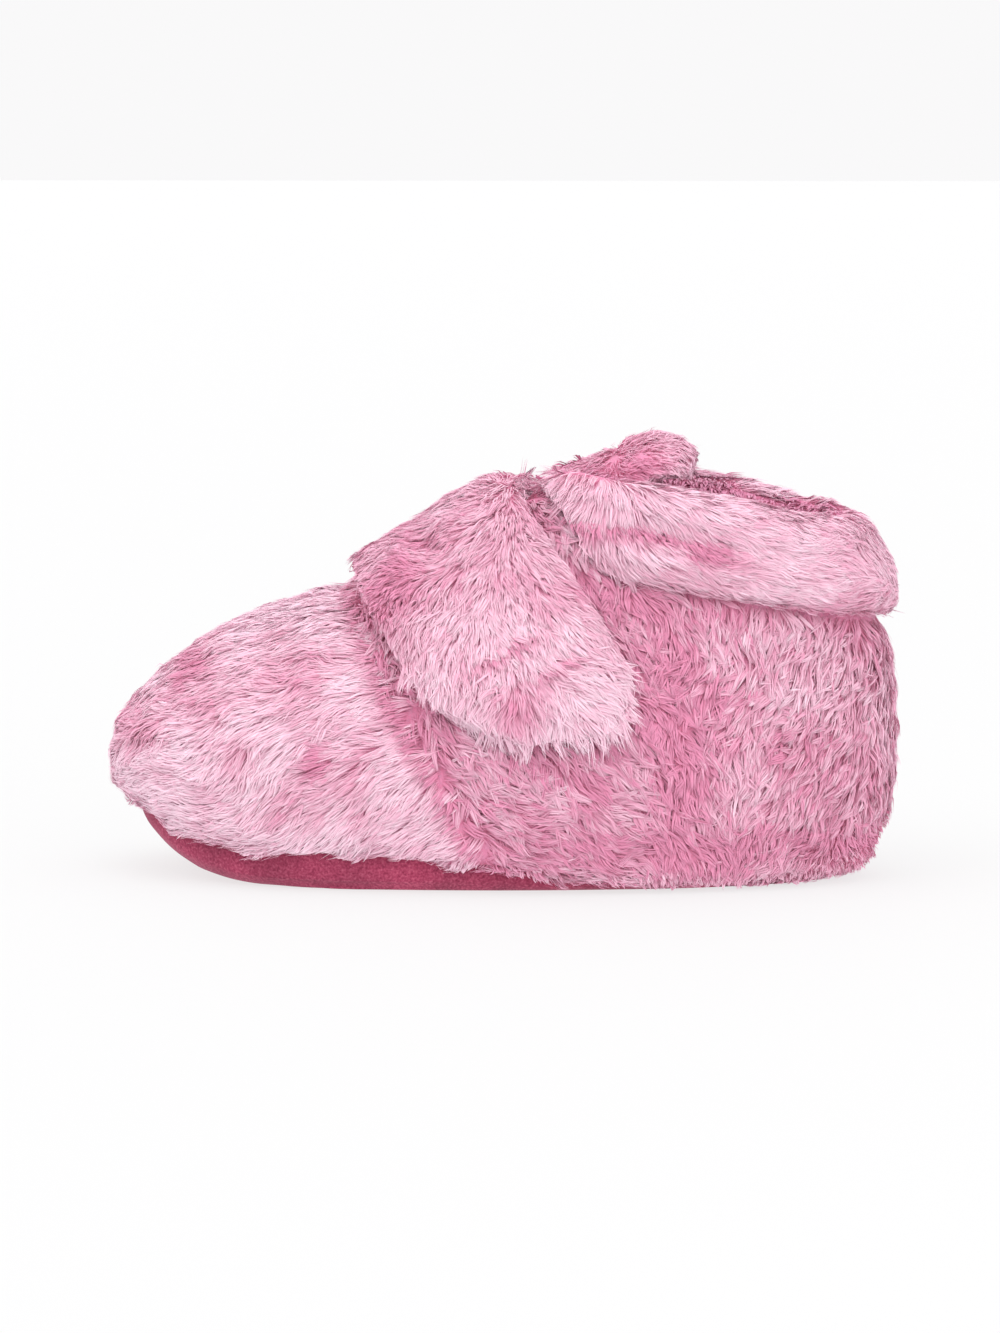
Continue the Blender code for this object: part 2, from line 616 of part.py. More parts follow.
def make_strap(*under):
    """A band laid tight over the instep: rays from outside find what it lies on, and its underside
    spans that with a small gap. Its far end is sewn to the inner quarter, its near end is free."""
    slope = np.array([math.cos(STRAP_SLOPE), 0.0, -math.sin(STRAP_SLOPE)])
    rise = np.array([math.sin(STRAP_SLOPE), 0.0, math.cos(STRAP_SLOPE)])
    side = np.array([0.0, 1.0, 0.0])
    centre = np.array([station(STRAP_AXIS_ALONG), 0.0, STRAP_AXIS_HEIGHT * INSTEP_HEIGHT])
    surface = surface_of(*under)

    def radius(turn, across):
        """How far the pieces below reach from the strap's axis on this ray."""
        ray = rise * math.cos(turn) + side * math.sin(turn)
        start = centre + slope * across + ray * STRAP_REACH
        hit = surface.ray_cast(Vector(start), Vector(-ray), STRAP_REACH)
        return 0.0 if hit[0] is None else STRAP_REACH - hit[3]

    def grid(stations, lines):
        """Turn and distance across for every point of a grid over the strap, its ends rounded."""
        along, spread = np.linspace(0.0, 1.0, stations)[:, None], np.linspace(-1.0, 1.0, lines)
        back = STRAP_END_SKEW * spread + STRAP_END_ROUNDING * spread**4
        start, end = STRAP_FAR_END + back, STRAP_NEAR_END - back
        width = STRAP_WIDTH * read(STRAP_FORM, "along", "width", along)
        return start + (end - start) * along, spread / 2 * width

    # The fine grid finds the ground. The seat starts on it and is raised where a face would cut in.
    fine = 4
    fine_turns, fine_across = grid((STRAP_STATIONS - 1) * fine + 1, (STRAP_ACROSS - 1) * fine + 1)
    ground = np.vectorize(radius)(fine_turns, fine_across)
    ground = np.array([stretched(line, reach) for line, reach in zip(fine_turns.T, ground.T)]).T
    seat = ground[::fine, ::fine].copy()
    for _ in range(3):
        u, v = np.arange(len(ground)) / fine, np.arange(ground.shape[1]) / fine
        spans = np.array([np.interp(v, np.arange(STRAP_ACROSS), row) for row in seat])
        spans = np.array([np.interp(u, np.arange(STRAP_STATIONS), line) for line in spans.T]).T
        short = np.pad(np.clip(ground - spans, 0.0, None), fine)
        for i, j in np.ndindex(seat.shape):
            seat[i, j] += short[i * fine : (i + 2) * fine + 1, j * fine : (j + 2) * fine + 1].max()
    seat += STRAP_GAP
    turns, across = grid(STRAP_STATIONS, STRAP_ACROSS)
    along = np.linspace(0.0, 1.0, STRAP_STATIONS)[:, None]
    lock = lock_shape(np.arange(STRAP_ACROSS) + 1, along * 9 + np.zeros(STRAP_ACROSS))
    full = STRAP_THICKNESS * read(STRAP_FORM, "along", "thickness", along)
    edge = 1 - 0.62 * np.abs(np.linspace(-1.0, 1.0, STRAP_ACROSS)) ** 3.0
    top = seat + edge * (full + 0.8 * LOCK_RELIEF * (lock - 0.3))
    rays = rise * np.cos(turns)[..., None] + side * np.sin(turns)[..., None]
    inner = centre + slope * across[..., None] * 0.97 + rays * seat[..., None]
    outer = centre + slope * across[..., None] + rays * top[..., None]
    sections = np.concatenate([inner, outer[:, ::-1]], axis=1)
    strap = loft("strap", sections, joined=False)
    give_material(strap, "strap_fleece", STRAP_PINK, 0.95)
    return strap


for old in list(bpy.data.objects):
    bpy.data.objects.remove(old, do_unlink=True)
bootie = bpy.data.collections.new("bootie_slipper")
bpy.context.scene.collection.children.link(bootie)

outsole = make_outsole()
insole = make_insole()
upper = make_upper()
cuff = make_cuff()
tongue = make_tongue(upper)
strap = make_strap(upper, tongue, cuff)
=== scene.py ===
"""A plush fleece bootie slipper for an infant's left foot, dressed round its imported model.

The toe points to +X, the outer side of the foot is +Y and Z is up. Lengths are in metres.
"""

import math

import bmesh
import bpy
import numpy as np
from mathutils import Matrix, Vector
from mathutils.bvhtree import BVHTree


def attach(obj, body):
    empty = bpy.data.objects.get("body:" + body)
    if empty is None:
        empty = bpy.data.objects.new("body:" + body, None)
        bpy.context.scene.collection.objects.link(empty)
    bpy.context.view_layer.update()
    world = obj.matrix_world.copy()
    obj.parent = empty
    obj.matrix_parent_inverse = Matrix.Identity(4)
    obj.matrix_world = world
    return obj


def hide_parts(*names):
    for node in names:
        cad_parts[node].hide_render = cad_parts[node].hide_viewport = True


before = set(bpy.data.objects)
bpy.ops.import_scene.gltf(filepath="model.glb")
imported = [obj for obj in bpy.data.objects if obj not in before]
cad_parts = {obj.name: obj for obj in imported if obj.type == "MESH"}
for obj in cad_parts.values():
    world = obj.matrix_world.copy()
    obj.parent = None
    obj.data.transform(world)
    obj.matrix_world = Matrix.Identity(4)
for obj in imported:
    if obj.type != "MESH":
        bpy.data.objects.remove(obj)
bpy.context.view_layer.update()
MM = 0.001

# ---------------------------------------------------------------- suede sole
# Soft rose suede, cut larger than the foot and turned up round the edge like a dish. The hem of
# the upper laps over its rim and is stitched there, out of sight under the locks of pile.

SUEDE_DEEP = (0.240, 0.026, 0.066)
SUEDE_MID = (0.370, 0.053, 0.112)
SUEDE_PALE = (0.500, 0.105, 0.178)
# noise scales, in turns a metre
NAP_SCALE = 2600.0
SCUFF_SCALE = 120.0
NAP_DEPTH = 0.25 * MM
# corners nearer than this are one place
WELD = 0.002 * MM


def welded_copy(node, name, levels, sink=0.0):
    """A welded copy of a CAD node's surface, set in by sink along its normals: corners that share a
    place become one vertex, pairs of triangles become quads, and Catmull-Clark subdivision of the
    given level rounds the facets off. The cage is then moved out by what the rounding took from
    each of its vertices, three times over, so that the round surface passes through them all."""
    shell = bmesh.new()
    shell.from_mesh(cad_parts[node].data)
    bmesh.ops.remove_doubles(shell, verts=shell.verts, dist=WELD)
    bmesh.ops.join_triangles(
        shell, faces=shell.faces, angle_face_threshold=0.5, angle_shape_threshold=0.9
    )
    for face in shell.faces:
        face.smooth = True
    mesh = bpy.data.meshes.new(name)
    shell.to_mesh(mesh)
    shell.free()
    piece = bpy.data.objects.new(name, mesh)
    bpy.context.scene.collection.objects.link(piece)
    rounding = piece.modifiers.new("rounding", "SUBSURF")
    rounding.levels = rounding.render_levels = levels
    spots, facing = np.empty(len(mesh.vertices) * 3), np.empty(len(mesh.vertices) * 3)
    mesh.vertices.foreach_get("co", spots)
    mesh.vertices.foreach_get("normal", facing)
    wanted = spots - facing * sink
    cage = wanted.copy()
    for _ in range(3):
        mesh.vertices.foreach_set("co", cage)
        mesh.update()
        bpy.context.view_layer.update()
        round_mesh = piece.evaluated_get(bpy.context.evaluated_depsgraph_get()).data
        reached = np.empty(len(round_mesh.vertices) * 3)
        round_mesh.vertices.foreach_get("co", reached)
        cage += wanted - reached[: len(cage)]
    mesh.vertices.foreach_set("co", cage)
    mesh.update()
    return piece


def new_material(name, roughness, sheen, tint):
    """A matt Principled material, and its nodes and links, for the patterns to be added to."""
    material = bpy.data.materials.new(name)
    material.use_nodes = True
    nodes, links = material.node_tree.nodes, material.node_tree.links
    shader = nodes["Principled BSDF"]
    shader.inputs["Roughness"].default_value = roughness
    shader.inputs["Specular IOR Level"].default_value = 0.25
    shader.inputs["Sheen Weight"].default_value = sheen
    shader.inputs["Sheen Roughness"].default_value = 0.45
    shader.inputs["Sheen Tint"].default_value = (*tint, 1)
    return material, nodes, links, shader


def ramp(nodes, links, source, stops):
    """A colour ramp over source, with stops of (place, colour)."""
    node = nodes.new("ShaderNodeValToRGB")
    while len(node.color_ramp.elements) < len(stops):
        node.color_ramp.elements.new(0.5)
    for element, (place, colour) in zip(node.color_ramp.elements, stops):
        element.position = place
        element.color = (*colour, 1)
    links.new(source, node.inputs["Fac"])
    return node.outputs["Color"]


def noise(nodes, links, place, scale, detail):
    """Noise of the given scale, in turns a metre, at the given place."""
    node = nodes.new("ShaderNodeTexNoise")
    node.inputs["Scale"].default_value = scale
    node.inputs["Detail"].default_value = detail
    links.new(place, node.inputs["Vector"])
    return node.outputs["Fac"]


def mixed(nodes, links, share, first, second, way="MIX"):
    """first and second mixed by share, which is a socket or a number."""
    node = nodes.new("ShaderNodeMix")
    node.data_type = "RGBA"
    node.blend_type = way
    for name, value in (("Factor", share), ("A", first), ("B", second)):
        socket = node.inputs[name]
        if isinstance(value, bpy.types.NodeSocket):
            links.new(value, socket)
        else:
            socket.default_value = value if isinstance(value, float) else (*value, 1)
    return node.outputs["Result"]


def bumped(nodes, links, shader, height, strength, depth):
    """Relief of the given depth from a height that runs from 0 to 1."""
    node = nodes.new("ShaderNodeBump")
    node.inputs["Strength"].default_value = strength
    node.inputs["Distance"].default_value = depth
    links.new(height, node.inputs["Height"])
    links.new(node.outputs["Normal"], shader.inputs["Normal"])


suede, nodes, links, shader = new_material("suede", 0.92, 0.25, (0.95, 0.62, 0.74))
place = nodes.new("ShaderNodeTexCoord").outputs["Object"]
nap = noise(nodes, links, place, NAP_SCALE, 3.0)
scuffs = noise(nodes, links, place, SCUFF_SCALE, 4.0)
nap_colour = ramp(nodes, links, nap, ((0.30, SUEDE_DEEP), (0.52, SUEDE_MID), (0.72, SUEDE_PALE)))
scuffed = ramp(nodes, links, scuffs, ((0.35, (0.80, 0.80, 0.80)), (0.65, (1.12, 1.08, 1.10))))
links.new(mixed(nodes, links, 1.0, nap_colour, scuffed, "MULTIPLY"), shader.inputs["Base Color"])
bumped(nodes, links, shader, nap, 0.6, NAP_DEPTH)

sole = welded_copy("outsole", "suede_sole", 2)
sole.data.materials.append(suede)
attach(sole, "root")
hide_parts("outsole")

# ---------------------------------------------------------------- footbed
# A padded fleece footbed that lies in the sole's dish, with a short pile. It is glued down, and
# only its middle shows through the collar.

FLEECE_ROOT = (0.80, 0.265, 0.43)
FLEECE_DEEP = (0.74, 0.295, 0.455)
FLEECE_MID = (0.86, 0.450, 0.60)
FLEECE_PALE = (0.94, 0.640, 0.76)
FLEECE_TIP = (0.98, 0.800, 0.89)
CRUMB_SCALE, CRUMB_DEPTH = 1400.0, 0.5 * MM
FOOTBED_STRANDS = 8000
# plush pile, and the short pile of the lining
PILE_LENGTH, PILE_WIDTH, PILE_LIFT = 4.4 * MM, 0.20 * MM, 0.95 * MM
LINING_WIDTH, LINING_LOCK = 0.40 * MM, 1.2 * MM
# how deep the roots sit, the wave of a ribbon, and how far it strays from its lock's heading in
# degrees and rolls round its own run in radians
PILE_SINK, PILE_CURL, PILE_STRAY, PILE_ROLL = 0.8 * MM, 0.15 * MM, 6.0, 0.34
# how ragged a hem of pile is from lock to lock, and the least that a ribbon may fall
HEM_RAGGED, HEM_LEAST = 0.6 * MM, 0.5 * MM
FLOOR_GAP = 0.15 * MM
RUFFLE_SIZE = 4 * MM
# the places along a ribbon that have a vertex or two
STATIONS = np.array([0.0, 0.55, 1.0])


def lattice_noise(points, size, seed):
    """Smooth noise from 0 to 1: random numbers at the corners of cubes of the given size, blended
    across each cube by f * f * (3 - 2 f) in each direction."""
    cell = np.floor(points / size).astype(np.int64)
    part = points / size - cell
    part = part * part * (3 - 2 * part)
    total = np.zeros(len(points))
    for corner in range(8):
        step = np.array([corner & 1, corner >> 1 & 1, corner >> 2 & 1])
        weight = np.prod(np.where(step == 1, part, 1 - part), axis=1)
        total += weight * scatter(cell + step, seed)
    return total


def scatter(cell, seed):
    """A number from 0 to 1 for each whole-number cell, from a product of large odd numbers."""
    mixed_bits = (cell[:, 0] * 73856093) ^ (cell[:, 1] * 19349663) ^ (cell[:, 2] * 83492791)
    mixed_bits = (mixed_bits + seed * 2654435761) & 0xFFFFFFFF
    mixed_bits = ((mixed_bits ^ (mixed_bits >> 15)) * 2246822519) & 0xFFFFFFFF
    mixed_bits = ((mixed_bits ^ (mixed_bits >> 13)) * 3266489917) & 0xFFFFFFFF
    return ((mixed_bits ^ (mixed_bits >> 16)) & 0xFFFFFF) / float(0x1000000)


def locks_of(points, size, seed):
    """The number of the lock that each root belongs to: the nearest of one point a cube, where
    each point is set off from its cube's middle by a random part of the cube."""
    home = np.floor(points / size).astype(np.int64)
    best = np.full(len(points), np.inf)
    owner = home.copy()
    for dx in (-1, 0, 1):
        for dy in (-1, 0, 1):
            for dz in (-1, 0, 1):
                cell = home + (dx, dy, dz)
                off = np.stack([scatter(cell, seed + k) for k in (1, 2, 3)], axis=1)
                away = np.linalg.norm((cell + off) * size - points, axis=1)
                near = away < best
                best[near] = away[near]
                owner[near] = cell[near]
    return np.unique(owner, axis=0, return_inverse=True)[1].ravel()


def unit(vectors):
    """Each vector over its length."""
    return vectors / np.maximum(np.linalg.norm(vectors, axis=-1, keepdims=True), 1e-12)


def aimed(way, normals):
    """One direction, laid on to the surface at each of the normals."""
    way = np.array(way, float)
    return unit(way - normals * (normals @ way)[:, None])


def clouded(points, middle, *layers):
    """A tone round its middle value. Each layer of clouds is (size in mm, seed, swing)."""
    for size, seed, swing in layers:
        middle = middle + swing * (lattice_noise(points, size * MM, seed) - 0.5)
    return middle


def skin_of(node):
    """The triangles of a CAD node as corners (n, 3, 3), the smooth normals at them and the area
    vectors. The normal at a place is the sum of the area vectors of the triangles there."""
    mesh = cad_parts[node].data
    spots = np.empty(len(mesh.vertices) * 3)
    mesh.vertices.foreach_get("co", spots)
    spots = spots.reshape(-1, 3)
    mesh.calc_loop_triangles()
    corners = np.empty(len(mesh.loop_triangles) * 3, np.int32)
    mesh.loop_triangles.foreach_get("vertices", corners)
    grid = np.round(spots / WELD).astype(np.int64)
    places, where = np.unique(grid, axis=0, return_inverse=True)
    triangles = where.ravel()[corners].reshape(-1, 3)
    tri = spots[corners].reshape(-1, 3, 3)
    area = np.cross(tri[:, 1] - tri[:, 0], tri[:, 2] - tri[:, 0])
    total = np.zeros((len(places), 3))
    for k in range(3):
        np.add.at(total, triangles[:, k], area)
    return tri, unit(total)[triangles], area


def tree_of(*names):
    """One search tree over the surfaces of CAD nodes."""
    tris = np.concatenate([skin_of(name)[0] for name in names]).reshape(-1, 3)
    faces = np.arange(len(tris)).reshape(-1, 3)
    return BVHTree.FromPolygons(tris.tolist(), faces.tolist())


def plant(node, count, seed, wanted, cover=None, gap=2.0 * MM):
    """Roots spread evenly by area over the triangles that wanted(middle, normal) keeps, less those
    with a covering surface within the gap in front of them. Gives places and normals."""
    tri, normals, area = skin_of(node)
    face_normal = unit(area)
    keep = wanted(tri.mean(axis=1), face_normal)
    tri, normals, area, face_normal = tri[keep], normals[keep], area[keep], face_normal[keep]
    rng = np.random.default_rng(seed)
    size = np.linalg.norm(area, axis=1)
    pick = rng.choice(len(tri), count, p=size / size.sum())
    a, b = rng.random((2, count))
    fold = a + b > 1
    a[fold], b[fold] = 1 - a[fold], 1 - b[fold]
    share = np.stack([1 - a - b, a, b], axis=1)[:, :, None]
    roots = (tri[pick] * share).sum(axis=1)
    normal = unit((normals[pick] * share).sum(axis=1) + 0.6 * face_normal[pick])
    if cover is not None:
        starts = (roots + normal * 0.05 * MM).tolist()
        hits = [cover.ray_cast(s, d, gap)[0] is None for s, d in zip(starts, normal.tolist())]
        open_air = np.array(hits)
        roots, normal = roots[open_air], normal[open_air]
    return roots, normal


def combed(points, normals, strokes):
    """The way the pile lies at each point, along the surface. strokes has rows of (along, height,
    heading): a heading of 0 points to the toe and -90 down, as seen from either side. They are
    blended by one over the distance cubed, and put on to the surface."""
    rows = np.array(strokes, float)
    away = (points[:, None, 0] / MM - rows[:, 0]) ** 2 + (points[:, None, 2] / MM - rows[:, 1]) ** 2
    weight = 1 / (away + 4.0) ** 1.5
    turn = np.radians(rows[:, 2])
    east = (weight * np.cos(turn)).sum(axis=1)
    north = (weight * np.sin(turn)).sum(axis=1)
    size = np.hypot(east, north)
    along = np.array([1.0, 0, 0]) - normals * normals[:, :1]
    along /= np.maximum(np.linalg.norm(along, axis=1, keepdims=True), 0.05) ** 0.6
    up = np.array([0, 0, 1.0]) - normals * normals[:, 2:]
    return unit(along * (east / size)[:, None] + up * (north / size)[:, None])


def turned(vectors, normals, angle):
    """vectors turned about their normals by angle, in radians."""
    return vectors * np.cos(angle)[:, None] + np.cross(normals, vectors) * np.sin(angle)[:, None]


def ruffled(headings, points, normals, degrees, seed):
    """Headings swung to either side by smooth noise, by up to the given angle."""
    swing = 2 * lattice_noise(points, RUFFLE_SIZE, seed) - 1
    return turned(headings, normals, np.radians(degrees * swing))


def laid(points, heights, tree):
    """Points pressed down on to a surface, so that pile follows a roll instead of standing off it:
    each goes to its height above the nearest place, unless it hangs past the surface's edge."""
    found = [tree.find_nearest(point) for point in points.tolist()]
    nearest = np.array([hit[0] for hit in found])
    facing = np.array([hit[1] for hit in found])
    off = points - nearest
    away = np.linalg.norm(off, axis=1)
    side = (off * facing).sum(axis=1)
    way = np.where((side > 0.1 * MM)[:, None], off / np.maximum(away, 1e-9)[:, None], facing)
    past = (side > 0.1 * MM) & (side < 0.6 * away)
    return np.where(past[:, None], points, nearest + way * heights[:, None])


def ribbon_mesh(name, spots, shine, chart):
    """A mesh of ribbons with five vertices each: two pairs and a tip, so three triangles. spots are
    the vertices, shine their normals and chart their UV coordinates."""
    count = len(spots)
    pattern = np.array([(0, 1, 3), (0, 3, 2), (2, 3, 4)])
    faces = (pattern[None] + 5 * np.arange(count)[:, None, None]).reshape(-1, 3)
    mesh = bpy.data.meshes.new(name)
    mesh.vertices.add(count * 5)
    mesh.vertices.foreach_set("co", spots.ravel())
    mesh.loops.add(faces.size)
    mesh.loops.foreach_set("vertex_index", faces.ravel())
    mesh.polygons.add(len(faces))
    mesh.polygons.foreach_set("loop_start", np.arange(0, faces.size, 3))
    mesh.update(calc_edges=True)
    mesh.polygons.foreach_set("use_smooth", np.ones(len(faces), bool))
    layer = mesh.uv_layers.new(name="OFBake")
    layer.data.foreach_set("uv", chart.reshape(-1, 2)[faces.ravel()].ravel())
    mesh.normals_split_custom_set_from_vertices(shine.reshape(-1, 3))
    return mesh


def grow(name, node, roots, normals, headings, tone, material, seed, length, width, lift,
         lock=0.65 * MM, pull=0.55, veer=9.0, streak=0.09, hem=None):
    """Plush pile as one mesh of narrow ribbons. With s from 0 at the root to 1 at the tip, the
    middle of a ribbon is root + heading * length * s + normal * (lift * rise - PILE_SINK), where
    rise is 1 - (1 - s) ** 2.2, with a wave to its side. Locks are lock across, and their headings
    swing by veer degrees; the ribbons of one are drawn to its own middle line by pull * s ** 1.4.
    A ribbon is width across, and runs out to a point. Where hem gives the height that each ribbon
    may fall to, it is cut there. The UV map gives s and tone, which differs by streak from lock
    to lock."""
    rng = np.random.default_rng(seed)
    count = len(roots)
    lock_of = locks_of(roots, lock, seed)
    locks = lock_of.max() + 1
    strength = np.bincount(lock_of, minlength=locks).astype(float)

    def lock_mean(values):
        """The mean of the values over each lock."""
        sums = [np.bincount(lock_of, values[:, k], locks) for k in range(values.shape[1])]
        return np.stack(sums, axis=1) / strength[:, None]

    def varied(lock_spread, lock_most, own_spread, own_most):
        """A factor round 1 for each ribbon: its lock's, times its own, each held to its most."""
        by_lock = rng.normal(1, lock_spread, locks)
        by_lock = np.clip(by_lock, 1 - lock_most, 1 + lock_most)[lock_of]
        return by_lock * np.clip(rng.normal(1, own_spread, count), 1 - own_most, 1 + own_most)

    headings = turned(headings, normals, np.radians(rng.normal(0, veer, locks))[lock_of])
    own = turned(headings, normals, np.radians(rng.normal(0, PILE_STRAY, count)))
    reach = length * varied(0.15, 0.4, 0.1, 0.3)
    height = lift * varied(0.2, 0.6, 0.12, 0.4)
    if hem is not None:
        ragged = HEM_RAGGED * rng.normal(0, 1, locks)[lock_of]
        fall = np.maximum(roots[:, 2] - hem + ragged, HEM_LEAST)
        reach = np.minimum(reach, fall / np.maximum(-own[:, 2], 0.05) + 0.3 * MM)
    side = np.cross(normals, own)
    s = STATIONS[None, :, None]
    turns = rng.uniform(3.0, 6.0, (locks, 1, 1))[lock_of]  # in radians from root to tip
    start = rng.uniform(0, 6.28, (locks, 1, 1))[lock_of]
    wave = side[:, None] * np.sin(s * turns + start) * s * PILE_CURL
    rise = 1 - (1 - s) ** 2.2

    def line(foot, way, far, normal, high):
        """The middle lines from each foot, far along the way and high along the normal."""
        up = high[:, None, None] * rise - PILE_SINK
        return foot[:, None] + way[:, None] * (far[:, None, None] * s) + normal[:, None] * up

    middle = line(roots, own, reach, normals, height) + wave
    sizes = lock_mean(np.stack([reach, height], axis=1))
    heart = line(lock_mean(roots), unit(lock_mean(headings)), sizes[:, 0],
                 unit(lock_mean(normals)), 1.1 * sizes[:, 1])[lock_of] + wave
    middle += (heart - middle) * (pull * STATIONS ** 1.4)[None, :, None]
    surface = tree_of(node)
    for station in (1, 2):
        above = height * rise[0, station, 0] - PILE_SINK
        middle[:, station] = laid(middle[:, station], above, surface)
    middle[:, :, 2] = np.maximum(middle[:, :, 2], FLOOR_GAP)

    # a ribbon's flat side looks off the surface, rolled a little round its run
    run = unit(np.gradient(middle, axis=1))
    flat = unit(np.cross(run, normals[:, None]))
    face = np.cross(flat, run)
    roll = rng.normal(0, PILE_ROLL, count)[:, None, None]
    across = flat * np.cos(roll) + face * np.sin(roll)
    face = face * np.cos(roll) - flat * np.sin(roll)
    face = np.where((face * normals[:, None]).sum(axis=2, keepdims=True) < 0, -face, face)
    taper = 0.5 * width * np.array([0.8, 1.0, 0.0])[None, :, None]
    half = across * taper * rng.uniform(0.75, 1.25, (count, 1, 1))
    # it is shaded as if it were round: its normals lean out at its two edges
    soft = unit(0.8 * face + 0.2 * normals[:, None])
    spots, shine = np.empty((2, count, 5, 3))
    spots[:, (0, 2)] = (middle - half)[:, :2]
    spots[:, (1, 3)] = (middle + half)[:, :2]
    spots[:, 4] = middle[:, 2]
    shine[:, (0, 2)] = unit(soft - 0.2 * across)[:, :2]
    shine[:, (1, 3)] = unit(soft + 0.2 * across)[:, :2]
    shine[:, 4] = soft[:, 2]
    tone = tone + streak * rng.normal(0, 1, locks)[lock_of] + 0.05 * rng.normal(0, 1, count)
    chart = np.empty((count, 5, 2))
    chart[:, :, 0] = STATIONS[[0, 0, 1, 1, 2]]
    chart[:, :, 1] = np.clip(tone, 0.02, 0.98)[:, None]

    mesh = ribbon_mesh(name, spots, shine, chart)
    mesh.materials.append(material)
    piece = bpy.data.objects.new(name, mesh)
    bpy.context.scene.collection.objects.link(piece)
    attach(piece, "root")


def pile_material(name, colours):
    """Colour from root to tip along u, for deep locks where v is 0 and pale ones where it is 1."""
    root, deep, mid, pale, tip = colours
    material, nodes, links, shader = new_material(name, 0.78, 0.7, (1.0, 0.74, 0.86))
    chart = nodes.new("ShaderNodeUVMap")
    chart.uv_map = "OFBake"
    split = nodes.new("ShaderNodeSeparateXYZ")
    links.new(chart.outputs["UV"], split.inputs[0])
    deep_lock = ramp(nodes, links, split.outputs[0], ((0.0, root), (1.0, deep)))
    pale_lock = ramp(nodes, links, split.outputs[0], ((0.0, mid), (0.55, pale), (1.0, tip)))
    colour = mixed(nodes, links, split.outputs[1], deep_lock, pale_lock)
    links.new(colour, shader.inputs["Base Color"])
    return material


def backing_material(name, deep, mid):
    """Knitted backing and pressed roots of the pile: a deep colour with paler crumbs, in relief."""
    material, nodes, links, shader = new_material(name, 0.9, 0.3, (1.0, 0.8, 0.9))
    place = nodes.new("ShaderNodeTexCoord").outputs["Object"]
    crumbs = noise(nodes, links, place, CRUMB_SCALE, 3.0)
    links.new(ramp(nodes, links, crumbs, ((0.35, deep), (0.70, mid))), shader.inputs["Base Color"])
    bumped(nodes, links, shader, crumbs, 0.8, CRUMB_DEPTH)
    return material


def fleece_body(node, name, material):
    """The body under the pile, which stands for a CAD node: the CAD surface is where the pile's
    settled root ends, and the body lies under it by PILE_SINK."""
    piece = welded_copy(node, name, 1, PILE_SINK)
    piece.data.materials.append(material)
    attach(piece, "root")
    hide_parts(node)
    return piece


PILE_COLOURS = (FLEECE_ROOT, FLEECE_DEEP, FLEECE_MID, FLEECE_PALE, FLEECE_TIP)
LINING_COLOURS = (
    (0.46, 0.085, 0.21), (0.60, 0.14, 0.30), (0.72, 0.23, 0.41), (0.80, 0.34, 0.51),
    (0.88, 0.46, 0.61),
)
backing = backing_material("fleece_backing", FLEECE_ROOT, FLEECE_DEEP)
lining_pile = pile_material("lining_pile", LINING_COLOURS)
footbed = fleece_body("insole", "padded_footbed", backing)
roots, normals = plant("insole", FOOTBED_STRANDS, 11, lambda p, n: n[:, 2] > 0.5)
grow("footbed_pile", "insole", roots, normals, aimed((1, 0, 0), normals),
     clouded(roots, 0.5, (6, 5, 0.3)), lining_pile, 12, length=2.2 * MM, width=LINING_WIDTH,
     lift=1.3 * MM, veer=40.0, lock=LINING_LOCK)

# ---------------------------------------------------------------- upper
# Plush fleece sewn from a vamp in front and two quarters behind, whose front edges lap over the
# vamp in a slanted seam; an upright seam closes the back. The pile is combed down and forwards,
# stands up in deep patches, and hangs over the suede in pale tufts. Painted shade darkens the
# slanted seam's crease and the pile under the cuff's edge, and a painted highlight lightens the
# vamp's top.

SEAM_FOOT, SEAM_TOP = (-2.0 * MM, 4.0 * MM), (23.0 * MM, 50.0 * MM)
# how wide the painted shade in the seam's crease is
SEAM_SHADE = 1.2 * MM
VAMP_STRANDS, OUTER_STRANDS, INNER_STRANDS = 64000, 64000, 60000
LINING_STRANDS, LINING_END = 12000, 25 * MM
# rows of (along, height) of the line that the pile hangs down to
HEM_LINE = (
    (-62, 10.0), (-56, 4.6), (-50, 2.8), (-40, 1.6), (-28, 1.8), (-17, 2.8), (-7, 4.1), (3, 5.0),
    (16, 4.8), (32, 5.2), (40, 5.8), (48, 7.2), (55, 10.5), (60, 13.2), (64, 15.5),
)

# rows of (along, height, heading) of the comb, in mm and degrees, as combed takes them
VAMP_STROKES = (
    (55, 29, -20), (60, 22, -40), (58, 16, -10), (48, 16, 8), (40, 11, -8), (48, 26, -5),
    (42, 34, -15), (38, 45, -10), (29, 45, -8), (27, 36, -15), (32, 27.5, -35), (38, 21, -60),
    (32, 16, -60), (24, 29, -25), (21, 21, -32), (22, 11.5, -50), (13, 16, -42), (10, 8, -45),
    (32, 8, -35), (13, 32, -35),
)
QUARTER_STROKES = (
    (-55, 35.5, -60), (-60, 26, -60), (-53, 19.5, -62), (-48, 29, -55), (-45, 13, -70),
    (-58, 9.5, -45), (-42, 39, -80), (-32, 42, -100), (-26, 32.5, -125), (-29, 22.5, -80),
    (-35, 32.5, -60), (-22.5, 16, -130), (-16, 19.5, -150), (-9.5, 16, -155), (-6.5, 9.5, -160),
    (-19, 8, -140),
    (-32, 6.5, -100), (-16, 42, -120), (-9.5, 48.5, -130), (-22.5, 48.5, -110),
)
